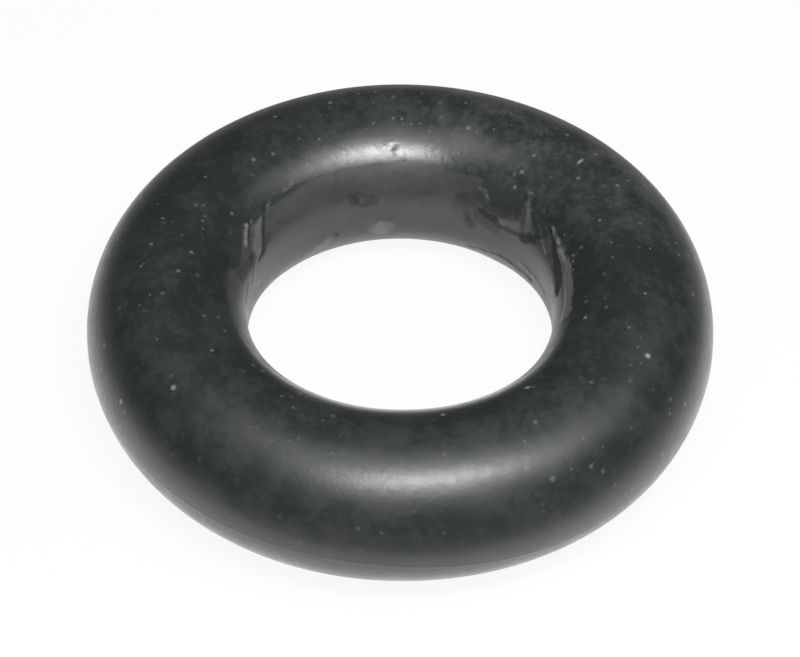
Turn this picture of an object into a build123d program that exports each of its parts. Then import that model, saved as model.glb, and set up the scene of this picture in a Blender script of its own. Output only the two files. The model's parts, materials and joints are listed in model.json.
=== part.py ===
"""Dishwasher gasket: one moulded rubber ring of thick round cord.

The ring lies flat on Z = 0 with its axis on Z. It comes out of a mould that is split at
mid height, so it has the two marks that such a mould leaves: a fine witness bead around
the outside, and a narrow straight land around the bore, where the inner flash was
trimmed off. The land is what grips the spigot that the ring seals on.
"""

import os
from math import sqrt

from build123d import *

# Driving dimensions, in millimetres
bore_diameter = 9.7  # across the trimmed land, before the ring is stretched on
cord_diameter = 5.2  # the round cord, and so the ring's height
land_height = 1.0  # the land between its two edges, before they are softened
land_edge_radius = 0.8  # blend from the land into the round cord
witness_height = 0.05  # how far the outer bead stands proud of the cord
witness_bead_radius = 0.2  # round top of the bead

# Sizes that follow from them
bore_radius = bore_diameter / 2
cord_radius = cord_diameter / 2
land_to_cord_centre = sqrt(cord_radius**2 - (land_height / 2) ** 2)
ring_radius = bore_radius + land_to_cord_centre  # ring axis to the middle of the cord
outside_radius = ring_radius + cord_radius
mid_height = cord_radius  # the mould's parting plane
bead_centre_radius = outside_radius + witness_height - witness_bead_radius

with BuildPart() as gasket_ring:
    with BuildSketch(Plane.XZ) as cord_section:
        # The round cord, standing on the ground plane
        with Locations((ring_radius, mid_height)):
            Circle(cord_radius)

        # The land: everything nearer the axis than the bore was trimmed away
        with Locations((0, mid_height)):
            Rectangle(
                bore_radius,
                cord_diameter,
                align=(Align.MIN, Align.CENTER),
                mode=Mode.SUBTRACT,
            )
        land_edges = cord_section.vertices().group_by(Axis.X)[0]
        fillet(land_edges, radius=land_edge_radius)

        # The witness bead on the parting plane
        with Locations((bead_centre_radius, mid_height)):
            Circle(witness_bead_radius)
    revolve(axis=Axis.Z)

gasket_ring.part.label = "gasket_ring"

os.makedirs("parts", exist_ok=True)
export_step(gasket_ring.part, "parts/gasket_ring.step")

outside_diameter = 2 * outside_radius
print(f"outside {outside_diameter:.2f} mm, bore {bore_diameter:.2f} mm, height {cord_diameter:.2f} mm")
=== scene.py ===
"""Looks of a dishwasher gasket: a thick black rubber ring that lies on a pale table.

The cord is satin black and lightly dusty, with a haze that also paints light towards its far right side.
The band around the bore, where the ring grips its spigot, is rubbed glossy, with torn patches of matt skin
along its upper edge, and strokes of painted shade and painted highlight along its edges. A fine parting
line runs around the outside.

Places on the ring are given as an azimuth, in degrees round the ring from +X towards +Y, and a section
angle, in degrees round the cord: 0 is the outermost line, 90 the top, 180 the middle of the bore and 270
the bottom.
"""

import json
import logging
import math
from dataclasses import dataclass, field
from enum import Enum

import bmesh
import bpy
from mathutils import Matrix, Vector, noise


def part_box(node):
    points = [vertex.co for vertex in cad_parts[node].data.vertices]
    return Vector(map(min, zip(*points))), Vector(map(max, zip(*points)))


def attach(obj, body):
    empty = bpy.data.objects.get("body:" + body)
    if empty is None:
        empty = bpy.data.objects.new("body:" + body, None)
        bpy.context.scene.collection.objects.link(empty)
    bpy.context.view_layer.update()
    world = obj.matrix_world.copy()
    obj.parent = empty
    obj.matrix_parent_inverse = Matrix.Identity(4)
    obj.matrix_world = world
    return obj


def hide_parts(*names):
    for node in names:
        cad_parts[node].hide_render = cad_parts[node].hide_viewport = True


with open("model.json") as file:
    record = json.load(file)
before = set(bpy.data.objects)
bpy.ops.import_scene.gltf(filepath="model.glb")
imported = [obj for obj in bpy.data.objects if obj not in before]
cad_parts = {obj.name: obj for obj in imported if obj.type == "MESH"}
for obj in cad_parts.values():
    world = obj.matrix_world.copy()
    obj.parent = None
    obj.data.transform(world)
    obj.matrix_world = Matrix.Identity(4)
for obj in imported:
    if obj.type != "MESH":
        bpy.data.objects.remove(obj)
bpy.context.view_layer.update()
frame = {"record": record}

MM = 0.001  # one millimetre, in metres
NODE = "gasket_ring"
RUBBED = "rubbed"  # 1 on the rubbed band, 0 on the cord
TORN_AND_SHADE = "torn"  # 1 on torn, matt skin, and on painted shade
PALE_AND_HIGHLIGHT = "pale"  # 1 on pale film, and on painted highlights
SURFACE_MAP = "surface"
LINT_WAY = (0.62, 0.74, 0.26)  # the way that lint lies, at length 1
BEAD_HEIGHT = 0.05  # mm that the bead of the solid ring stands out beyond its cord
WHITE = (1.0, 1.0, 1.0, 1.0)

Colour = tuple[float, float, float, float]

log = logging.getLogger("gasket")


def smooth_step(low: float, high: float, value: float) -> float:
    """Eases from 0 at low to 1 at high.

    Args:
        low: The value where the result is 0.
        high: The value where the result is 1. It may be below low.
        value: The value to place between the two.

    Returns:
        A share from 0 to 1 with no corner at either end.
    """
    share = min(max((value - low) / (high - low), 0.0), 1.0)
    return share * share * (3.0 - 2.0 * share)


def smooth_greater(first: float, second: float, blend: float) -> float:
    """Gives the greater of two lengths, rounded off where they meet.

    Args:
        first: One length.
        second: The other length.
        blend: How far apart the two may be and still be blended.

    Returns:
        The greater length, raised a little where the two are nearly equal.
    """
    near = max(blend - abs(first - second), 0.0) / blend
    return max(first, second) + near * near * blend / 4.0


def turn_between(first: float, second: float) -> float:
    """Gives the shortest turn from second to first, in degrees, from -180 to 180."""
    return (first - second + 180.0) % 360.0 - 180.0


@dataclass(frozen=True)
class Waviness:
    """Random unevenness in several sizes at once, the same on every run."""

    scale: float  # waves per mm, or per unit of what it is asked about
    smoothness: float  # how fast the smaller waves die away
    shrink: float = 2.0  # how much smaller each next size of wave is
    sizes: int = 3  # how many sizes there are

    def at(self, place: Vector) -> float:
        """Gives the unevenness at a place, mostly from -1 to 1."""
        return noise.fractal(place * self.scale, self.smoothness, self.shrink, self.sizes)


# ----------------------------------------------------------------------------------------------- the ring


class MarkKind(Enum):
    """What a mark on the ring is, with its tone: below 0 it is torn and matt, and some such marks are
    painted shade; above 0 it is pale, and some such marks are painted highlights.
    """

    GROOVE = -1.0  # a tear that is sunk into the rubber
    SKIN_AND_SHADE = -0.9  # a patch of torn skin; some of these are painted shade along the band's edges
    SCAR = -0.55  # a place that is torn here and there
    SHADE = -0.2  # a place where the band is duller
    SCUFF = 0.2  # a light scuff
    FLAP = 0.42  # a lip of skin that stands proud
    FILM = 0.55  # pale film that dried on the band
    CREST_AND_HIGHLIGHT = 0.85  # the pale, frayed crest of a lip; one of these is a painted highlight along the hole's edge


@dataclass(frozen=True)
class BandMark:
    """One mark at the bore: a tapered stroke between two places, each an azimuth and a section angle."""

    kind: MarkKind
    start: tuple[float, float]  # degrees
    end: tuple[float, float]  # degrees
    start_width: float  # mm, from the stroke's middle to its edge
    end_width: float  # mm
    lift: float = 0.0  # mm that the mark stands proud, below 0 where it is sunk

    def depth(self, azimuth: float, section: float, bore_radius: float, cord_radius: float) -> float:
        """Measures how deep inside the mark a place lies.

        Args:
            azimuth: The place's azimuth, in degrees.
            section: The place's section angle, in degrees.
            bore_radius: The bore's radius, in mm.
            cord_radius: The cord's radius, in mm.

        Returns:
            The distance to the mark's edge in mm, below 0 outside it.
        """
        degree_along = math.radians(bore_radius)
        degree_across = math.radians(cord_radius)
        along = turn_between(azimuth, self.start[0]) * degree_along
        across = turn_between(section, self.start[1]) * degree_across
        run = turn_between(self.end[0], self.start[0]) * degree_along
        rise = turn_between(self.end[1], self.start[1]) * degree_across
        share = min(max((along * run + across * rise) / (run * run + rise * rise), 0.0), 1.0)
        width = self.start_width + (self.end_width - self.start_width) * share
        return width - math.hypot(along - run * share, across - rise * share)


BAND_MARKS = (
    # Left: the band's torn upper edge, with painted shade under it, then a blister between two tears
    BandMark(MarkKind.SKIN_AND_SHADE, (126.0, 137.5), (130.5, 139.5), 0.04, 0.07),
    BandMark(MarkKind.SKIN_AND_SHADE, (131.0, 138.5), (137.5, 137.5), 0.08, 0.12),
    BandMark(MarkKind.SKIN_AND_SHADE, (140.0, 136.5), (151.0, 132.0), 0.05, 0.20),
    BandMark(MarkKind.SKIN_AND_SHADE, (160.0, 134.0), (169.0, 141.0), 0.34, 0.30),
    BandMark(MarkKind.FILM, (146.5, 140.5), (156.5, 154.5), 0.10, 0.20, 0.04),
    BandMark(MarkKind.GROOVE, (142.5, 137.0), (153.5, 160.0), 0.06, 0.07, -0.03),
    BandMark(MarkKind.GROOVE, (153.5, 160.0), (157.5, 163.0), 0.07, 0.05, -0.03),
    BandMark(MarkKind.GROOVE, (151.0, 136.0), (159.5, 149.0), 0.08, 0.07, -0.03),
    BandMark(MarkKind.CREST_AND_HIGHLIGHT, (153.0, 136.0), (159.0, 143.5), 0.05, 0.08, 0.05),
    BandMark(MarkKind.SKIN_AND_SHADE, (160.0, 154.0), (166.0, 157.0), 0.16, 0.12, -0.02),
    BandMark(MarkKind.SCAR, (164.0, 156.0), (171.0, 152.0), 0.20, 0.26),
    BandMark(MarkKind.SCUFF, (162.0, 162.0), (165.5, 170.0), 0.05, 0.07, 0.02),
    BandMark(MarkKind.FILM, (166.0, 172.0), (161.0, 177.0), 0.05, 0.09, 0.01),
    BandMark(MarkKind.FILM, (158.5, 181.0), (162.5, 182.5), 0.05, 0.07),
    BandMark(MarkKind.SCUFF, (170.0, 164.0), (178.0, 167.0), 0.06, 0.09, 0.02),
    BandMark(MarkKind.SCUFF, (148.0, 188.0), (134.0, 191.0), 0.10, 0.14),
    BandMark(MarkKind.FILM, (125.5, 203.0), (119.0, 196.5), 0.15, 0.24),
    BandMark(MarkKind.SCUFF, (115.0, 196.0), (110.5, 197.0), 0.22, 0.30),
    BandMark(MarkKind.GROOVE, (116.5, 187.0), (115.0, 195.0), 0.07, 0.05, -0.02),
    # Middle of the far wall: a small scar, a spot of film and a darker stretch, a painted reflection of
    # the dark near wall
    BandMark(MarkKind.SHADE, (92.0, 165.0), (72.0, 150.0), 0.36, 0.16),
    BandMark(MarkKind.SCAR, (107.0, 162.0), (101.0, 165.0), 0.28, 0.24, -0.01),
    BandMark(MarkKind.SKIN_AND_SHADE, (107.5, 161.5), (107.0, 165.5), 0.12, 0.08, -0.01),
    BandMark(MarkKind.FILM, (104.5, 163.5), (104.5, 164.5), 0.05, 0.05),
    BandMark(MarkKind.SCUFF, (101.0, 191.0), (95.0, 195.0), 0.34, 0.36),
    BandMark(MarkKind.FILM, (99.5, 194.5), (95.6, 193.0), 0.25, 0.29),
    BandMark(MarkKind.CREST_AND_HIGHLIGHT, (97.8, 191.5), (97.2, 198.5), 0.15, 0.20),
    # Right: a patch of torn skin with a lip around it
    BandMark(MarkKind.SHADE, (66.0, 163.0), (46.0, 172.0), 0.30, 0.34),
    BandMark(MarkKind.SCAR, (68.0, 156.0), (59.0, 151.0), 0.12, 0.22),
    BandMark(MarkKind.SKIN_AND_SHADE, (55.0, 141.0), (45.0, 138.0), 0.40, 0.38, 0.015),
    BandMark(MarkKind.SKIN_AND_SHADE, (53.0, 153.0), (43.5, 148.0), 0.26, 0.22, 0.015),
    BandMark(MarkKind.SCAR, (55.5, 157.5), (46.5, 156.0), 0.18, 0.14, 0.015),
    BandMark(MarkKind.FLAP, (60.5, 146.0), (57.5, 146.5), 0.04, 0.05, 0.02),
    BandMark(MarkKind.CREST_AND_HIGHLIGHT, (58.0, 148.5), (56.5, 149.5), 0.06, 0.07, 0.01),
    BandMark(MarkKind.SCAR, (63.0, 169.5), (61.5, 178.0), 0.17, 0.20),
    BandMark(MarkKind.SKIN_AND_SHADE, (62.5, 171.5), (62.0, 174.0), 0.09, 0.10, -0.01),
    BandMark(MarkKind.SCAR, (58.0, 168.5), (50.0, 171.5), 0.26, 0.22),
    BandMark(MarkKind.GROOVE, (57.5, 160.5), (50.5, 163.5), 0.12, 0.15, -0.03),
    BandMark(MarkKind.SCAR, (49.5, 165.0), (38.0, 162.5), 0.10, 0.08, -0.02),
    BandMark(MarkKind.FLAP, (42.5, 131.5), (35.5, 152.0), 0.06, 0.13, 0.04),
    BandMark(MarkKind.FLAP, (47.5, 161.0), (40.5, 156.0), 0.12, 0.12, 0.03),
    BandMark(MarkKind.SKIN_AND_SHADE, (37.0, 134.5), (27.5, 144.0), 0.20, 0.17),
    BandMark(MarkKind.SKIN_AND_SHADE, (36.5, 142.0), (31.0, 148.5), 0.12, 0.12),
    BandMark(MarkKind.GROOVE, (37.0, 161.5), (29.0, 151.0), 0.12, 0.09, -0.03),
    BandMark(MarkKind.GROOVE, (37.0, 165.5), (26.5, 152.5), 0.05, 0.05, -0.02),
    # The bore's right end: a long tear between two lips
    BandMark(MarkKind.FLAP, (27.5, 150.5), (22.0, 152.5), 0.05, 0.05, 0.04),
    BandMark(MarkKind.CREST_AND_HIGHLIGHT, (26.0, 137.5), (17.0, 141.5), 0.04, 0.05, 0.05),
    BandMark(MarkKind.CREST_AND_HIGHLIGHT, (17.0, 141.5), (10.5, 141.5), 0.06, 0.07, 0.05),
    BandMark(MarkKind.FILM, (9.0, 141.0), (346.0, 142.5), 0.17, 0.22, 0.03),
    BandMark(MarkKind.GROOVE, (27.5, 140.5), (18.0, 148.5), 0.07, 0.13, -0.05),
    BandMark(MarkKind.GROOVE, (18.0, 148.5), (4.0, 155.0), 0.15, 0.24, -0.05),
    BandMark(MarkKind.SCUFF, (57.0, 194.0), (45.0, 190.0), 0.09, 0.08),
    # Along the hole's lower edge: a painted highlight, with painted shade below it where the bore's lower
    # edge lies in shadow
    BandMark(MarkKind.CREST_AND_HIGHLIGHT, (37.0, 187.0), (17.5, 185.0), 0.07, 0.10, 0.03),
    BandMark(MarkKind.SKIN_AND_SHADE, (64.0, 207.5), (47.5, 197.0), 0.06, 0.06),
    BandMark(MarkKind.SKIN_AND_SHADE, (47.5, 197.0), (29.5, 194.0), 0.06, 0.08),
    # Above the band, in the middle: a small curled nick in the cord
    BandMark(MarkKind.GROOVE, (91.4, 125.0), (92.2, 128.0), 0.055, 0.045, -0.008),
    BandMark(MarkKind.SCAR, (92.4, 129.5), (92.0, 134.5), 0.03, 0.03),
    BandMark(MarkKind.SCAR, (89.7, 134.5), (89.2, 137.0), 0.045, 0.06, -0.005),
)


@dataclass(frozen=True)
class PartingLine:
    """The fine line around the outside where the mould parts: a low bead that drifts below mid height."""

    height: float = 0.010  # mm, at its highest
    half_width: float = 0.13  # mm
    usual: float = 0.6  # of that height, about which it rises and falls
    waves_per_mm: float = 0.8
    drift: float = 3.0  # degrees of section below mid height
    slip: float = 11.0  # more degrees, where the mould's halves met badly
    slip_azimuth: float = 303.0  # degrees
    slip_reach: float = 48.0  # degrees each way
    zone: float = 45.0  # degrees of section each way over which the cord gives way to the drift

    def section_at(self, azimuth: float) -> float:
        """Gives the section angle of the line, in degrees, below 0 under mid height."""
        slipped = smooth_step(self.slip_reach, 0.0, abs(turn_between(azimuth, self.slip_azimuth)))
        return -self.drift - self.slip * slipped

    def lift_at(self, place: Vector, distance: float) -> float:
        """Gives how far the rubber stands proud at a place, in mm.

        Args:
            place: The place, in mm.
            distance: How far it lies from the line's middle, in mm.

        Returns:
            The height above the cord, 0 beside the line.
        """
        uneven = self.usual + (1.0 - self.usual) * noise.noise(place * self.waves_per_mm)
        return self.height * uneven * smooth_step(self.half_width, 0.0, distance)


@dataclass
class GasketRing:
    """The ring as one closed mesh: round cord, rubbed band with its marks, and parting line."""

    ring_radius: float  # mm, axis to the middle of the cord
    cord_radius: float  # mm
    bore_radius: float  # mm, to the land
    land_blend: float = 0.15  # mm, softens the land's two edges
    bulge: float = 0.11  # mm that the cord swings out where the ring was pulled out of round
    bulge_azimuth: float = 313.0  # degrees
    bulge_reach: float = 50.0  # degrees each way
    band_reach: float = 42.0  # degrees of section on each side of the bore's middle that are rubbed
    band_wander: float = 2.0  # degrees that the band's edge wanders
    band_waves: Waviness = Waviness(3.0, 0.8)  # of the wandering edge, round the whole ring
    soft_edge: float = 0.30  # mm over which the band fades where it isn't torn
    sharp_edge: float = 0.05  # mm over which it ends where it is torn
    torn_stretches: tuple[tuple[float, float], ...] = ((150.0, 27.0), (28.0, 42.0))  # azimuth, reach
    torn_core: float = 0.6  # share of a torn stretch's reach that is torn all through
    torn_lift: float = 0.02  # mm that the torn skin stands proud
    torn_rim: float = 0.12  # mm each way over which it does
    torn_rim_out: float = 0.05  # mm that this rim lies outside the band's edge
    ragged: float = 0.08  # mm, raggedness of the edges
    ragged_waves: Waviness = Waviness(4.0, 0.6)
    mark_edge: tuple[float, float] = (-0.03, 0.04)  # mm deep, where a mark begins and where it is full
    marked_beyond: float = 30.0  # degrees of section beyond the band that marks may reach
    section_steps: int = 80
    fine_from: float = 114.0  # degrees of section from which the bore side is cut finer
    bore_cuts: int = 3
    outer_cuts: int = 7
    ring_steps: int = 480
    touching: float = 1e-4  # mm, within which two places are the same
    parting: PartingLine = PartingLine()
    marks: tuple[BandMark, ...] = BAND_MARKS
    piece: bpy.types.Object | None = field(default=None, init=False)

    def draw_section(self, bm: bmesh.types.BMesh) -> None:
        """Draws the round section in the XZ plane, finer at the bore and at the parting line.

        Args:
            bm: The empty mesh that takes the section.
        """
        stand_up = Matrix.Rotation(math.radians(90.0), 4, "X")
        stand_up.translation = (self.ring_radius, 0.0, self.cord_radius)
        bmesh.ops.create_circle(
            bm, cap_ends=False, segments=self.section_steps, radius=self.cord_radius, matrix=stand_up
        )
        bore_limit = self.ring_radius + self.cord_radius * math.cos(math.radians(self.fine_from))
        bore_side = [e for e in bm.edges if all(v.co.x < bore_limit for v in e.verts)]
        outermost = self.ring_radius + self.cord_radius
        outer_side = [e for e in bm.edges if any(v.co.x > outermost - self.touching for v in e.verts)]
        bmesh.ops.subdivide_edges(bm, edges=bore_side, cuts=self.bore_cuts)
        bmesh.ops.subdivide_edges(bm, edges=outer_side, cuts=self.outer_cuts)

    def angles_of(self, place: Vector) -> tuple[float, float]:
        """Works out where on the ring a place lies.

        Args:
            place: The place, in mm.

        Returns:
            Its azimuth and its section angle, in degrees from 0 to 360.
        """
        radius = math.hypot(place.x, place.y)
        azimuth = math.degrees(math.atan2(place.y, place.x)) % 360.0
        section = math.degrees(math.atan2(place.z - self.cord_radius, radius - self.ring_radius)) % 360.0
        return azimuth, section

    def settle(self, azimuth: float, section: float, lift: float) -> Vector:
        """Places a point on the cord, whose bore side is flattened to the land.

        Args:
            azimuth: The point's azimuth, in degrees.
            section: The point's section angle, in degrees.
            lift: How far it stands proud of the cord, in mm.

        Returns:
            The point's place, in mm.
        """
        turn, angle = math.radians(azimuth), math.radians(section)
        cord = self.ring_radius + self.cord_radius * math.cos(angle)
        swing = smooth_step(self.bulge_reach, 0.0, abs(turn_between(azimuth, self.bulge_azimuth)))
        radius = smooth_greater(cord, self.bore_radius, self.land_blend)
        radius += self.bulge * swing
        radius += lift * math.cos(angle)
        height = self.cord_radius * (1.0 + math.sin(angle)) + lift * math.sin(angle)
        return Vector((radius * math.cos(turn), radius * math.sin(turn), height))

    def torn_at(self, azimuth: float) -> float:
        """Tells how torn the band's edge is at an azimuth, from 0 to 1."""
        return max(
            smooth_step(reach, self.torn_core * reach, abs(turn_between(azimuth, middle)))
            for middle, reach in self.torn_stretches
        )

    def band_depth(self, place: Vector, section: float) -> float:
        """Measures how deep inside the rubbed band a place lies, its marks apart.

        Args:
            place: The place, in mm.
            section: Its section angle, in degrees.

        Returns:
            The distance to the band's edge round the cord in mm, below 0 outside the band.
        """
        reach = self.band_reach + self.band_wander * self.band_waves.at(place.normalized())
        return math.radians(reach - abs(turn_between(section, 180.0))) * self.cord_radius

    def wear_at(self, azimuth: float, section: float, place: Vector) -> tuple[float, float, float, float]:
        """Works out how the rubber is worn at a place near the bore.

        Args:
            azimuth: The place's azimuth, in degrees.
            section: Its section angle, in degrees.
            place: The place itself, in mm.

        Returns:
            How rubbed it is, how torn and how pale, each from 0 to 1, and how proud it stands, in mm. Torn
            also carries painted shade, and pale painted highlights.
        """
        ragged = self.ragged * self.ragged_waves.at(place)
        torn = self.torn_at(azimuth)
        depth = self.band_depth(place, section) + ragged
        edge = self.soft_edge + (self.sharp_edge - self.soft_edge) * torn
        rubbed = smooth_step(-edge, edge, depth)
        lift = self.torn_lift * torn * smooth_step(self.torn_rim, 0.0, abs(depth + self.torn_rim_out))
        tone = 0.0
        begins, full = self.mark_edge
        for mark in self.marks:
            inside = mark.depth(azimuth, section, self.bore_radius, self.cord_radius) + ragged
            share = smooth_step(begins, full, inside)
            if share > 0.0:
                tone += (mark.kind.value - tone) * share
                lift += (mark.lift - lift) * share
        return rubbed, max(-tone, 0.0), max(tone, 0.0), lift

    def shape(self, bm: bmesh.types.BMesh) -> None:
        """Moves each vertex to its place on the worn cord, and marks how rubbed, torn and pale it is.

        Args:
            bm: The spun ring, in mm.
        """
        rubbed = bm.verts.layers.float.new(RUBBED)
        torn = bm.verts.layers.float.new(TORN_AND_SHADE)
        pale = bm.verts.layers.float.new(PALE_AND_HIGHLIGHT)
        for vert in bm.verts:
            azimuth, section = self.angles_of(vert.co)
            from_outside = abs(turn_between(section, 0.0))
            from_bore = 180.0 - from_outside
            lift = 0.0
            if from_outside < self.parting.zone:
                lift = self.parting.lift_at(vert.co, math.radians(from_outside) * self.cord_radius)
                share = smooth_step(self.parting.zone, 0.0, from_outside)
                section += self.parting.section_at(azimuth) * share
            elif from_bore < self.band_reach + self.marked_beyond:
                vert[rubbed], vert[torn], vert[pale], lift = self.wear_at(azimuth, section, vert.co)
            vert.co = self.settle(azimuth, section, lift)

    def map_surface(self, bm: bmesh.types.BMesh) -> None:
        """Gives the ring a UV map: u goes once round the ring, and v once round the cord.

        Args:
            bm: The finished ring, in mm.
        """
        layer = bm.loops.layers.uv.new(SURFACE_MAP)
        for face in bm.faces:
            face_azimuth, face_section = self.angles_of(face.calc_center_median())
            for loop in face.loops:
                azimuth, section = self.angles_of(loop.vert.co)
                loop[layer].uv = (
                    (face_azimuth + turn_between(azimuth, face_azimuth)) / 360.0,
                    (face_section + turn_between(section, face_section)) / 360.0,
                )

    def build(self, name: str) -> bpy.types.Object:
        """Builds the ring's mesh and object, in metres.

        Args:
            name: The piece's name.

        Returns:
            The finished piece, at the origin, with its place in its mesh.
        """
        bm = bmesh.new()
        self.draw_section(bm)
        bmesh.ops.spin(
            bm,
            geom=bm.verts[:] + bm.edges[:],
            cent=(0.0, 0.0, 0.0),
            axis=(0.0, 0.0, 1.0),
            angle=math.tau,
            steps=self.ring_steps,
            use_merge=True,
        )
        self.shape(bm)
        bmesh.ops.recalc_face_normals(bm, faces=bm.faces)
        self.map_surface(bm)
        for face in bm.faces:
            face.smooth = True
        bmesh.ops.scale(bm, vec=(MM, MM, MM), verts=bm.verts)
        mesh = bpy.data.meshes.new(name)
        bm.to_mesh(mesh)
        bm.free()
        self.piece = bpy.data.objects.new(name, mesh)
        bpy.context.scene.collection.objects.link(self.piece)
        return self.piece

    def dress(self, finish: "RubberFinish") -> None:
        """Gives the ring its rubber, and tells the frame what it stands for.

        Args:
            finish: The rubber that it gets.
        """
        self.piece.data.materials.append(finish.build())
        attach(self.piece, "root")
        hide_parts(NODE)


# ----------------------------------------------------------------------------------------------- finishes


@dataclass(frozen=True)
class Ramp:
    """A smooth change from start to end, while what it follows goes from low to high."""

    low: float
    high: float
    start: float = 0.0
    end: float = 1.0


class Graph:
    """A short way to add and join the nodes of one material or node group."""

    def __init__(self, tree: bpy.types.NodeTree) -> None:
        """Takes a tree and empties it."""
        self.tree = tree
        tree.nodes.clear()

    def add(self, kind: str, values: dict | None = None, **settings: object) -> bpy.types.Node:
        """Adds one node.

        Args:
            kind: The node's type, without its ShaderNode prefix, or a whole type name.
            values: Input name or number to a value, or to an output socket that feeds it.
            settings: Properties of the node itself.

        Returns:
            The new node.
        """
        whole = kind if kind.startswith("Node") else "ShaderNode" + kind
        node = self.tree.nodes.new(whole)
        for key, value in settings.items():
            setattr(node, key, value)
        for key, value in (values or {}).items():
            if isinstance(value, bpy.types.NodeSocket):
                self.tree.links.new(value, node.inputs[key])
            else:
                node.inputs[key].default_value = value
        return node

    def math(self, operation: str, *values: object) -> bpy.types.NodeSocket:
        """Adds a Math node and gives its output."""
        return self.add("Math", dict(enumerate(values)), operation=operation).outputs[0]

    def ease(self, value: object, ramp: Ramp, unit: float = 1.0) -> bpy.types.NodeSocket:
        """Lets a ramp follow a value.

        Args:
            value: The value, as a number or as an output socket.
            ramp: The ramp.
            unit: What one unit of the ramp's low and high is in the value.

        Returns:
            The output, from the ramp's start to its end.
        """
        values = {
            "Value": value,
            "From Min": ramp.low * unit,
            "From Max": ramp.high * unit,
            "To Min": ramp.start,
            "To Max": ramp.end,
        }
        return self.add("MapRange", values, interpolation_type="SMOOTHSTEP").outputs["Result"]

    def mix(self, share: object, first: object, second: object) -> bpy.types.NodeSocket:
        """Mixes two colours by a share, and gives the output."""
        values = {0: share, 6: first, 7: second}
        return self.add("Mix", values, data_type="RGBA", clamp_factor=True).outputs[2]

    def blend(self, share: object, first: object, second: object) -> bpy.types.NodeSocket:
        """Mixes two numbers by a share, and gives the output."""
        return self.add("Mix", {0: share, 2: first, 3: second}, data_type="FLOAT").outputs[0]

    def place(self) -> bpy.types.NodeSocket:
        """Gives the place on the object, in metres."""
        return self.add("TexCoord").outputs["Object"]

    def along(self, way: tuple[float, float, float]) -> bpy.types.NodeSocket:
        """Measures how far the place on the object lies along a way, and gives the output."""
        return self.add("VectorMath", {0: self.place(), 1: way}, operation="DOT_PRODUCT").outputs["Value"]

    def from_axis(self) -> bpy.types.NodeSocket:
        """Measures how far the place on the object lies from the Z axis, and gives the output."""
        flat = self.add("VectorMath", {0: self.place(), 1: (1.0, 1.0, 0.0)}, operation="MULTIPLY")
        return self.add("VectorMath", {0: flat.outputs[0]}, operation="LENGTH").outputs["Value"]


def new_group(
    name: str, inputs: dict[str, float], outputs: tuple[str, ...]
) -> tuple[Graph, bpy.types.Node, bpy.types.Node]:
    """Starts a shader node group of numbers.

    Args:
        name: The group's name.
        inputs: Each input's name and default.
        outputs: The outputs' names.

    Returns:
        The group's graph, its input node and its output node.
    """
    tree = bpy.data.node_groups.new(name, "ShaderNodeTree")
    for label, default in inputs.items():
        socket = tree.interface.new_socket(name=label, in_out="INPUT", socket_type="NodeSocketFloat")
        socket.default_value = default
    for label in outputs:
        tree.interface.new_socket(name=label, in_out="OUTPUT", socket_type="NodeSocketFloat")
    graph = Graph(tree)
    return graph, graph.add("NodeGroupInput"), graph.add("NodeGroupOutput")


@dataclass(frozen=True)
class SpecksGroup:
    """The node group for small specks, one at the most in each cell of space."""

    sizes: Ramp = Ramp(0.0, 1.0, 0.5, 1.1)  # of a random number, as a share of the radius
    edge: Ramp = Ramp(1.0, 0.5)  # from a speck's edge inwards, as a share of its size
    strengths: Ramp = Ramp(0.2, 1.1, 0.15, 1.0)  # of another random number

    def build(self) -> bpy.types.NodeTree:
        """Builds the group.

        Returns:
            The node group, with output Mask: 0 beside the specks, and up to 1 on the palest of them.
        """
        graph, given, out = new_group(
            "dust specks", {"Cells per mm": 2.0, "Radius": 0.1, "Share": 0.3, "Stretch": 0.0}, ("Mask",)
        )
        pull = graph.math("MULTIPLY", graph.along(LINT_WAY), given.outputs["Stretch"])
        shift = graph.add("VectorMath", {0: LINT_WAY, "Scale": pull}, operation="SCALE").outputs[0]
        drawn = graph.add("VectorMath", {0: graph.place(), 1: shift}, operation="SUBTRACT").outputs[0]
        scale = graph.math("MULTIPLY", given.outputs["Cells per mm"], 1.0 / MM)
        cells = graph.add("TexVoronoi", {"Vector": drawn, "Scale": scale, "Randomness": 1.0}, feature="F1")
        random = graph.add("SeparateColor", {0: cells.outputs["Color"]}).outputs
        present = graph.math("LESS_THAN", random[0], given.outputs["Share"])
        size = graph.math("MULTIPLY", given.outputs["Radius"], graph.ease(random[1], self.sizes))
        disc = graph.ease(graph.math("DIVIDE", cells.outputs["Distance"], size), self.edge)
        speck = graph.math("MULTIPLY", disc, graph.ease(random[2], self.strengths))
        mask = graph.math("MULTIPLY", speck, present)
        graph.tree.links.new(mask, out.inputs["Mask"])
        return graph.tree


@dataclass(frozen=True)
class SpeckStyle:
    """One kind of speck on the cord."""

    cells_per_mm: float
    radius: float  # of a large speck, as a share of a cell
    share: float  # of the cells that hold a speck
    stretch: float = 0.0  # share by which specks are drawn out along the lint's way

    def scatter(self, graph: Graph, group: bpy.types.NodeTree) -> bpy.types.NodeSocket:
        """Scatters specks of this style over a material.

        Args:
            graph: The material's graph.
            group: The node group for specks.

        Returns:
            The specks' mask.
        """
        values = {
            "Cells per mm": self.cells_per_mm,
            "Radius": self.radius,
            "Share": self.share,
            "Stretch": self.stretch,
        }
        return graph.add("Group", values, node_tree=group).outputs["Mask"]


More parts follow.
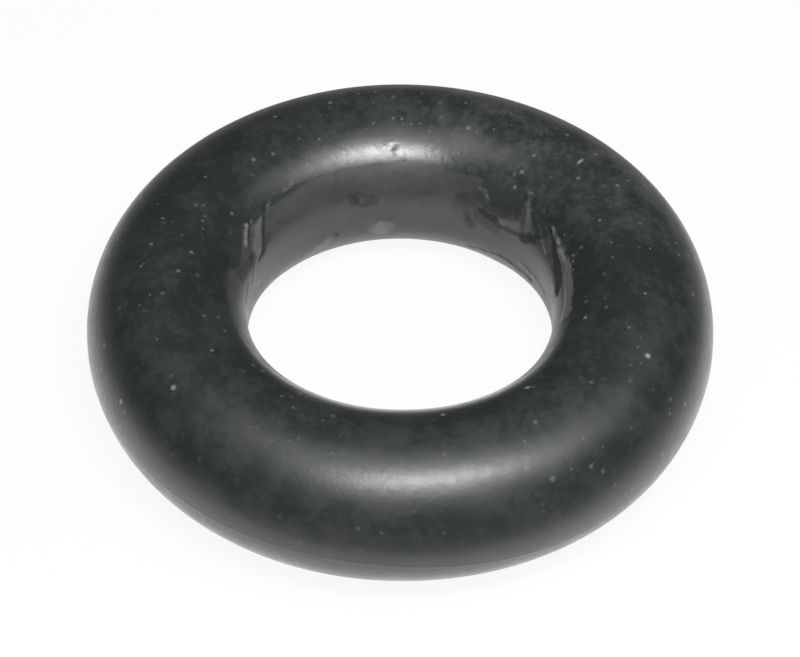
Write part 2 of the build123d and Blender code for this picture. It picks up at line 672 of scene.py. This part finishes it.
@dataclass(frozen=True)
class GrainGroup:
    """The node group for the rubber's moulded grain, each size with its detail and its roughness."""

    grain: tuple[float, float] = (4.0, 0.6)
    mottle: tuple[float, float] = (5.0, 0.62)
    blotch: tuple[float, float] = (3.0, 0.6)
    blotch_scale: float = 4.5  # times finer than the mottle

    def build(self) -> bpy.types.NodeTree:
        """Builds the group.

        Returns:
            The node group, with outputs Height, for the fine grain, Tone, for a slow change over the
            surface, and Blotch, for a quicker one.
        """
        graph, given, out = new_group(
            "moulded grain", {"Grain per mm": 9.0, "Mottle per mm": 0.8}, ("Height", "Tone", "Blotch")
        )
        place = graph.place()
        fine = graph.math("MULTIPLY", given.outputs["Grain per mm"], 1.0 / MM)
        slow = graph.math("MULTIPLY", given.outputs["Mottle per mm"], 1.0 / MM)
        quick = graph.math("MULTIPLY", slow, self.blotch_scale)
        sizes = (("Height", fine, self.grain), ("Tone", slow, self.mottle), ("Blotch", quick, self.blotch))
        for label, scale, (detail, roughness) in sizes:
            values = {"Vector": place, "Scale": scale, "Detail": detail, "Roughness": roughness}
            graph.tree.links.new(graph.add("TexNoise", values).outputs[0], out.inputs[label])
        return graph.tree


@dataclass(frozen=True)
class Wear:
    """The outputs that say where the rubber is rubbed, torn and under film, each from 0 to 1; torn also
    carries painted shade, and film painted highlights.
    """

    rubbed: bpy.types.NodeSocket
    torn: bpy.types.NodeSocket
    film: bpy.types.NodeSocket


@dataclass(frozen=True)
class RubberFinish:
    """Black moulded rubber: satin and dusty on the cord, rubbed grey on the band around the bore.

    The rubber has two layers: its body, and the waxy bloom on its skin, which is the shader's coat. The
    slope is where the cord falls towards the bore, and the side is where it falls towards the table.
    """

    cord_colour: Colour = (0.0092, 0.0160, 0.0142, 1.0)
    worn_colour: Colour = (0.020, 0.0245, 0.0235, 1.0)
    # torn skin's colour, also used for painted shade on the band
    torn_and_shade_colour: Colour = (0.0168, 0.0225, 0.0208, 1.0)
    band_colour: Colour = (0.0465, 0.0515, 0.0495, 1.0)
    band_pale: Colour = (0.063, 0.068, 0.066, 1.0)
    # dust's colour, also used for the haze's painted light towards the far right side
    dust_and_light_colour: Colour = (0.22, 0.235, 0.23, 1.0)
    # pale film's colour, also used for painted highlights on the band
    film_and_highlight_colour: Colour = (0.16, 0.165, 0.16, 1.0)

    grain_per_mm: float = 8.0
    grain_middle: float = 0.5  # the grain's usual height
    fray: float = 0.5  # how far the grain frays the edges of what is rubbed, torn or under film
    mottle_per_mm: float = 0.9
    blotchy: float = 0.5  # share of the blotches in the mottle
    worn_cord: Ramp = Ramp(0.64, 0.92)  # of the mottle
    worn_band: Ramp = Ramp(0.6, 0.95)  # of the mottle
    band_edge: Ramp = Ramp(0.1, 0.9)  # of the frayed rubbed mark
    film_edge: Ramp = Ramp(0.0, 1.0)  # of the frayed pale mark

    dust: SpeckStyle = SpeckStyle(3.3, 0.30, 0.42)
    flecks: SpeckStyle = SpeckStyle(1.6, 0.18, 0.34)
    lint: SpeckStyle = SpeckStyle(1.1, 0.075, 0.25, 0.75)
    dust_strength: float = 0.5  # beside the flecks and the lint
    settled_way: tuple[float, float, float] = (0.1, 1.0, 0.0)  # the way to where most specks lie
    settled: Ramp = Ramp(-8.8, -4.5, 0.2, 1.0)  # of the mm along that way
    haze_and_light_way: tuple[float, float, float] = (0.7, 1.0, 0.0)  # the way to where the haze is thickest, and where it paints light
    haze_and_light_side: Ramp = Ramp(4.0, 11.0, 0.2, 1.8)  # of the mm along that way
    haze: Ramp = Ramp(0.70, 1.20, 0.02, 0.15)  # of the mottle and some grain
    haze_grain: float = 0.27  # share of the grain in the haze

    index: float = 1.50
    cord_roughness: float = 0.50
    slope_roughness: float = 0.31
    side_roughness: float = 0.33
    band_roughness: float = 0.40
    torn_roughness: float = 0.2  # more than its surroundings
    uneven_roughness: Ramp = Ramp(0.58, 0.95, -0.04, 0.05)  # more than usual, of the mottle
    slope: Ramp = Ramp(7.2, 6.0)  # of the mm from the ring's axis
    side_from: float = 4.2  # mm above the table
    side_below: float = 2.2  # mm above the table, from where it is all side

    bloom_index: float = 1.52
    bloom_roughness: float = 0.32
    cord_bloom: float = 0.8  # share of the bloom on the cord
    slope_bloom: float = 1.0
    band_bloom: float = 0.2
    torn_bloom: float = 0.1  # share of it that is left on torn skin
    patchy_bloom: Ramp = Ramp(0.35, 0.65, 1.06, 0.87)  # of the blotches

    grain_relief: float = 0.3  # share of the grain beside the blotches
    band_relief: float = 0.12  # share of the relief that is left on the band
    dust_relief: float = 1.5
    relief_strength: float = 0.30
    relief_height: float = 0.02  # mm

    def read_wear(self, graph: Graph, grain: bpy.types.NodeSocket) -> Wear:
        """Reads the ring's marks, and frays them with the grain.

        Args:
            graph: The material's graph.
            grain: The grain's height.

        Returns:
            Where the rubber is worn.
        """
        marks = (graph.add("Attribute", attribute_name=mark) for mark in (RUBBED, TORN_AND_SHADE, PALE_AND_HIGHLIGHT))
        rubbed, torn, pale = (mark.outputs["Fac"] for mark in marks)
        fray = graph.math("MULTIPLY", graph.math("SUBTRACT", grain, self.grain_middle), self.fray)
        frayed = graph.math("ADD", pale, graph.math("MULTIPLY", fray, pale))
        return Wear(
            rubbed=graph.ease(graph.math("ADD", rubbed, fray), self.band_edge),
            torn=graph.math("MULTIPLY", torn, graph.math("ADD", fray, 1.0)),
            film=graph.ease(frayed, self.film_edge),
        )

    def settle_dust_and_light(
        self, graph: Graph, grain: bpy.types.NodeSocket, mottle: bpy.types.NodeSocket, wear: Wear
    ) -> bpy.types.NodeSocket:
        """Settles flecks, lint, fine dust and a thin haze on the cord. The haze thickens towards the far
        right side, where it also paints light.

        Args:
            graph: The material's graph.
            grain: The grain's height.
            mottle: The slow change over the surface.
            wear: Where the rubber is worn.

        Returns:
            How dusty the rubber is, with the haze's painted light, where 1 hides it.
        """
        group = SpecksGroup().build()
        flecks = self.flecks.scatter(graph, group)
        lint = self.lint.scatter(graph, group)
        fine = graph.math("MULTIPLY", self.dust.scatter(graph, group), self.dust_strength)
        specks = graph.math("MAXIMUM", graph.math("MAXIMUM", flecks, lint), fine)
        settled = graph.ease(graph.along(self.settled_way), self.settled, MM)
        speckled = graph.math("MULTIPLY", specks, settled)
        hazy = graph.math("ADD", mottle, graph.math("MULTIPLY", grain, self.haze_grain))
        # painted light: the haze thickens towards the far right side, lightening it as the light there
        # would
        haze_and_light_thickness = graph.ease(graph.along(self.haze_and_light_way), self.haze_and_light_side, MM)
        haze = graph.math("MULTIPLY", haze_and_light_thickness, graph.ease(hazy, self.haze))
        unrubbed = graph.math("SUBTRACT", 1.0, wear.rubbed)
        return graph.math("MULTIPLY", graph.math("ADD", speckled, haze), unrubbed)

    def colour(
        self, graph: Graph, mottle: bpy.types.NodeSocket, wear: Wear, dusty: bpy.types.NodeSocket
    ) -> bpy.types.NodeSocket:
        """Mixes the rubber's colour.

        Args:
            graph: The material's graph.
            mottle: The slow change over the surface.
            wear: Where the rubber is worn.
            dusty: How dusty it is, with the haze's painted light.

        Returns:
            The colour.
        """
        cord = graph.mix(graph.ease(mottle, self.worn_cord), self.cord_colour, self.worn_colour)
        band = graph.mix(graph.ease(mottle, self.worn_band), self.band_colour, self.band_pale)
        # torn skin, and painted shade where marks stand for shade
        rubber = graph.mix(wear.torn, graph.mix(wear.rubbed, cord, band), self.torn_and_shade_colour)
        # pale film, and painted highlights where marks stand for them
        filmed = graph.mix(wear.film, rubber, self.film_and_highlight_colour)
        # dust, with the haze's painted light
        return graph.mix(dusty, filmed, self.dust_and_light_colour)

    def roughness(
        self, graph: Graph, mottle: bpy.types.NodeSocket, slope: bpy.types.NodeSocket, wear: Wear
    ) -> bpy.types.NodeSocket:
        """Works out the roughness of the rubber's body.

        Args:
            graph: The material's graph.
            mottle: The slow change over the surface.
            slope: How far the rubber is on the slope, from 0 to 1.
            wear: Where the rubber is worn.

        Returns:
            The roughness.
        """
        fall = Ramp(self.side_from, self.side_below, self.cord_roughness, self.side_roughness)
        outside = graph.ease(graph.along((0.0, 0.0, 1.0)), fall, MM)
        cord = graph.blend(slope, outside, self.slope_roughness)
        smooth = graph.blend(wear.rubbed, cord, self.band_roughness)
        uneven = graph.math("ADD", smooth, graph.ease(mottle, self.uneven_roughness))
        return graph.math("ADD", uneven, graph.math("MULTIPLY", wear.torn, self.torn_roughness))

    def bloom(
        self, graph: Graph, blotch: bpy.types.NodeSocket, slope: bpy.types.NodeSocket, wear: Wear
    ) -> bpy.types.NodeSocket:
        """Spreads the waxy bloom.

        Args:
            graph: The material's graph.
            blotch: The quick change over the surface.
            slope: How far the rubber is on the slope, from 0 to 1.
            wear: Where the rubber is worn.

        Returns:
            The weight of the bloom.
        """
        cord = graph.ease(slope, Ramp(0.0, 1.0, self.cord_bloom, self.slope_bloom))
        whole = graph.blend(wear.rubbed, cord, self.band_bloom)
        left = graph.ease(wear.torn, Ramp(0.0, 1.0, 1.0, self.torn_bloom))
        patches = graph.ease(blotch, self.patchy_bloom)
        return graph.math("MULTIPLY", graph.math("MULTIPLY", whole, left), patches)

    def relief(
        self, graph: Graph, texture: bpy.types.Node, wear: Wear, dusty: bpy.types.NodeSocket
    ) -> bpy.types.NodeSocket:
        """Raises the grain, the blotches and the dust.

        Args:
            graph: The material's graph.
            texture: The grain's node.
            wear: Where the rubber is worn.
            dusty: How dusty it is, with the haze's painted light.

        Returns:
            The normal.
        """
        grain = graph.math("MULTIPLY", texture.outputs["Height"], self.grain_relief)
        moulded = graph.math("ADD", grain, texture.outputs["Blotch"])
        left = graph.ease(wear.rubbed, Ramp(0.0, 1.0, 1.0, self.band_relief))
        rubber = graph.math("MULTIPLY", moulded, left)
        height = graph.math("ADD", rubber, graph.math("MULTIPLY", dusty, self.dust_relief))
        values = {"Strength": self.relief_strength, "Distance": self.relief_height * MM, "Height": height}
        return graph.add("Bump", values).outputs[0]

    def build(self) -> bpy.types.Material:
        """Builds the material.

        Returns:
            The rubber, which reads the object's coordinates and the ring's rubbed, torn and pale marks.
        """
        material = bpy.data.materials.new("black_rubber")
        material.use_nodes = True
        graph = Graph(material.node_tree)
        sizes = {"Grain per mm": self.grain_per_mm, "Mottle per mm": self.mottle_per_mm}
        texture = graph.add("Group", sizes, node_tree=GrainGroup().build())
        grain, tone, blotch = (texture.outputs[label] for label in ("Height", "Tone", "Blotch"))
        mottle = graph.math("ADD", tone, graph.math("MULTIPLY", blotch, self.blotchy))
        slope = graph.ease(graph.from_axis(), self.slope, MM)
        wear = self.read_wear(graph, grain)
        dusty = self.settle_dust_and_light(graph, grain, mottle, wear)
        normal = self.relief(graph, texture, wear, dusty)
        values = {
            "Base Color": self.colour(graph, mottle, wear, dusty),
            "Roughness": self.roughness(graph, mottle, slope, wear),
            "IOR": self.index,
            "Coat Weight": self.bloom(graph, blotch, slope, wear),
            "Coat Roughness": self.bloom_roughness,
            "Coat IOR": self.bloom_index,
            "Normal": normal,
            "Coat Normal": normal,
        }
        shader = graph.add("BsdfPrincipled", values)
        graph.add("OutputMaterial", {"Surface": shader.outputs[0]})
        return material


@dataclass(frozen=True)
class TableFinish:
    """The white table top. It shows as nearly plain white, and keeps a soft share of the ring's shadow.

    In reflections it is plain white in an oval around the ring, and greyer beyond it.
    """

    colour: Colour = (0.86, 0.86, 0.86, 1.0)
    shown_white: float = 0.92  # share of plain white in what the camera sees
    reflected_white: float = 1.0  # strength in reflections inside the oval, where 1 is plain white
    distant_white: float = 0.35  # the same, beyond it
    squeeze: tuple[float, float, float] = (0.68, 1.0, 1.0)  # makes the oval wider than it is deep
    shift: tuple[float, float, float] = (0.9 * MM, 0.0, 0.0)  # puts it a little to the left
    near: float = 12.4  # mm from its middle to its edge, the short way
    far: float = 16.0  # mm from its middle, the short way, to where the table is distant

    def build(self) -> bpy.types.Material:
        """Builds the material.

        Returns:
            The table's white.
        """
        material = bpy.data.materials.new("white_table")
        material.use_nodes = True
        graph = Graph(material.node_tree)
        top = graph.add("BsdfDiffuse", {"Color": self.colour})
        path = graph.add("LightPath").outputs
        shown = graph.math("MULTIPLY", path["Is Camera Ray"], self.shown_white)
        mirrored = graph.math("MAXIMUM", path["Is Glossy Ray"], path["Is Transmission Ray"])
        oval = {0: graph.place(), 1: self.squeeze, 2: self.shift}
        reach = graph.add("VectorMath", oval, operation="MULTIPLY_ADD").outputs["Vector"]
        distance = graph.add("VectorMath", {0: reach}, operation="LENGTH").outputs["Value"]
        fall = Ramp(self.near, self.far, self.reflected_white, self.distant_white)
        strength = graph.blend(mirrored, 1.0, graph.ease(distance, fall, MM))
        white = graph.add("Emission", {"Color": WHITE, "Strength": strength})
        share = graph.math("MAXIMUM", shown, mirrored)
        shader = graph.add("MixShader", {0: share, 1: top.outputs[0], 2: white.outputs[0]})
        graph.add("OutputMaterial", {"Surface": shader.outputs[0]})
        return material


# ------------------------------------------------------------------------------------------------- studio


@dataclass(frozen=True)
class SoftBox:
    """A soft area lamp that faces the ring."""

    name: str
    azimuth: float  # degrees round the ring, from +X towards +Y
    elevation: float  # degrees above the table
    distance: float  # mm from the middle of the ring
    width: float  # mm
    height: float  # mm
    radiance: float  # how bright its face is, where 1 is white

    def build(self, aim: Vector) -> bpy.types.Object:
        """Builds the lamp.

        Args:
            aim: The point that it faces, in metres.

        Returns:
            The lamp's object.
        """
        azimuth, elevation = math.radians(self.azimuth), math.radians(self.elevation)
        level = math.cos(elevation)
        out = Vector((level * math.cos(azimuth), level * math.sin(azimuth), math.sin(elevation)))
        lamp = bpy.data.lights.new(self.name, "AREA")
        lamp.shape = "ELLIPSE"
        lamp.size, lamp.size_y = self.width * MM, self.height * MM
        face = math.pi / 4.0 * lamp.size * lamp.size_y
        lamp.energy = self.radiance * math.pi * face
        holder = bpy.data.objects.new(self.name, lamp)
        holder.location = aim + out * self.distance * MM
        holder.rotation_euler = out.to_track_quat("Z", "Y").to_euler()
        bpy.context.scene.collection.objects.link(holder)
        return holder


@dataclass(frozen=True)
class View:
    """The camera's place: straight on to the ring, looking down at it."""

    elevation: float = 46.03  # degrees above the table
    distance: float = 97.9  # mm from the middle of the ring
    focal_length: float = 137.5  # mm
    sensor_width: float = 36.0  # mm
    shift_down: float = 0.0111  # of the picture's width, so that the ring stands above the middle
    nearest: float = 1.0  # mm from the camera, from where it sees
    farthest: float = 10000.0  # mm from the camera, up to where it sees

    def build(self, aim: Vector) -> bpy.types.Object:
        """Builds the camera and makes it the scene's own.

        Args:
            aim: The point that it looks at, in metres.

        Returns:
            The camera's object.
        """
        elevation = math.radians(self.elevation)
        out = Vector((0.0, -math.cos(elevation), math.sin(elevation)))
        lens = bpy.data.cameras.new("camera")
        lens.sensor_width = self.sensor_width
        lens.lens = self.focal_length
        lens.shift_y = -self.shift_down
        lens.clip_start, lens.clip_end = self.nearest * MM, self.farthest * MM
        camera = bpy.data.objects.new("camera", lens)
        camera.location = aim + out * self.distance * MM
        camera.rotation_euler = (math.pi / 2.0 - elevation, 0.0, 0.0)
        bpy.context.scene.collection.objects.link(camera)
        bpy.context.scene.camera = camera
        return camera


@dataclass
class Studio:
    """The pale table, the soft lamps, the surroundings and the camera."""

    aim: Vector  # the middle of the ring, in metres
    view: View = View()
    table: TableFinish = TableFinish()
    table_half_size: float = 60.0  # mm
    surroundings: float = 0.09  # how bright the room is around the table, where 1 is white
    lamps: tuple[SoftBox, ...] = (
        SoftBox("key_core", 281.0, 63.0, 78.0, 48.0, 16.0, 21.0),
        SoftBox("key_wide", 293.0, 57.0, 84.0, 108.0, 42.0, 2.25),
        SoftBox("side_right", 352.0, 52.0, 90.0, 70.0, 40.0, 0.75),
        SoftBox("front_fill", 305.0, 33.0, 92.0, 80.0, 36.0, 0.2),
        SoftBox("front_low", 270.0, 15.0, 110.0, 150.0, 30.0, 0.1),
        SoftBox("overhead", 240.0, 80.0, 90.0, 90.0, 60.0, 1.1),
    )

    def lay_table(self) -> bpy.types.Object:
        """Lays the table top that the ring rests on, which isn't part of the object.

        Returns:
            The table top.
        """
        bm = bmesh.new()
        bmesh.ops.create_grid(bm, x_segments=1, y_segments=1, size=self.table_half_size * MM)
        mesh = bpy.data.meshes.new("table_top")
        bm.to_mesh(mesh)
        bm.free()
        mesh.materials.append(self.table.build())
        table = bpy.data.objects.new("table_top", mesh)
        bpy.context.scene.collection.objects.link(table)
        return table

    def surround(self) -> None:
        """Makes the room: white to the camera, and a plain grey light on everything else."""
        world = bpy.data.worlds.new("room")
        world.use_nodes = True
        graph = Graph(world.node_tree)
        seen = graph.add("LightPath").outputs["Is Camera Ray"]
        level = graph.ease(seen, Ramp(0.0, 1.0, self.surroundings, 1.0))
        room = graph.add("Background", {"Color": WHITE, "Strength": level})
        graph.add("OutputWorld", {"Surface": room.outputs[0]})
        bpy.context.scene.world = world

    def build(self) -> None:
        """Builds the whole studio."""
        self.lay_table()
        self.surround()
        for lamp in self.lamps:
            lamp.build(self.aim)
        self.view.build(self.aim)
        bpy.context.scene.view_settings.view_transform = "Standard"


# --------------------------------------------------------------------------------------------------- main


def ring_from_frame() -> GasketRing:
    """Reads the ring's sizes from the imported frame.

    Returns:
        The ring, not built yet.
    """
    low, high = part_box(NODE)
    bore = next(mount for mount in frame["record"]["mounts"] if mount["name"] == "bore")
    cord_radius = (high.z - low.z) / MM / 2.0
    outside_radius = high.x / MM - BEAD_HEIGHT
    return GasketRing(outside_radius - cord_radius, cord_radius, bore["dims"]["r_mm"])


def main() -> None:
    """Builds the ring, dresses it and sets up the studio."""
    logging.basicConfig(level=logging.INFO, format="%(name)s: %(message)s")
    ring = ring_from_frame()
    piece = ring.build("rubber_ring")
    ring.dress(RubberFinish())
    log.info("%s: %d faces", piece.name, len(piece.data.polygons))
    studio = Studio(aim=Vector((0.0, 0.0, ring.cord_radius * MM)))
    studio.build()
    log.info("studio: %d lamps", len(studio.lamps))


if __name__ == "__main__":
    main()
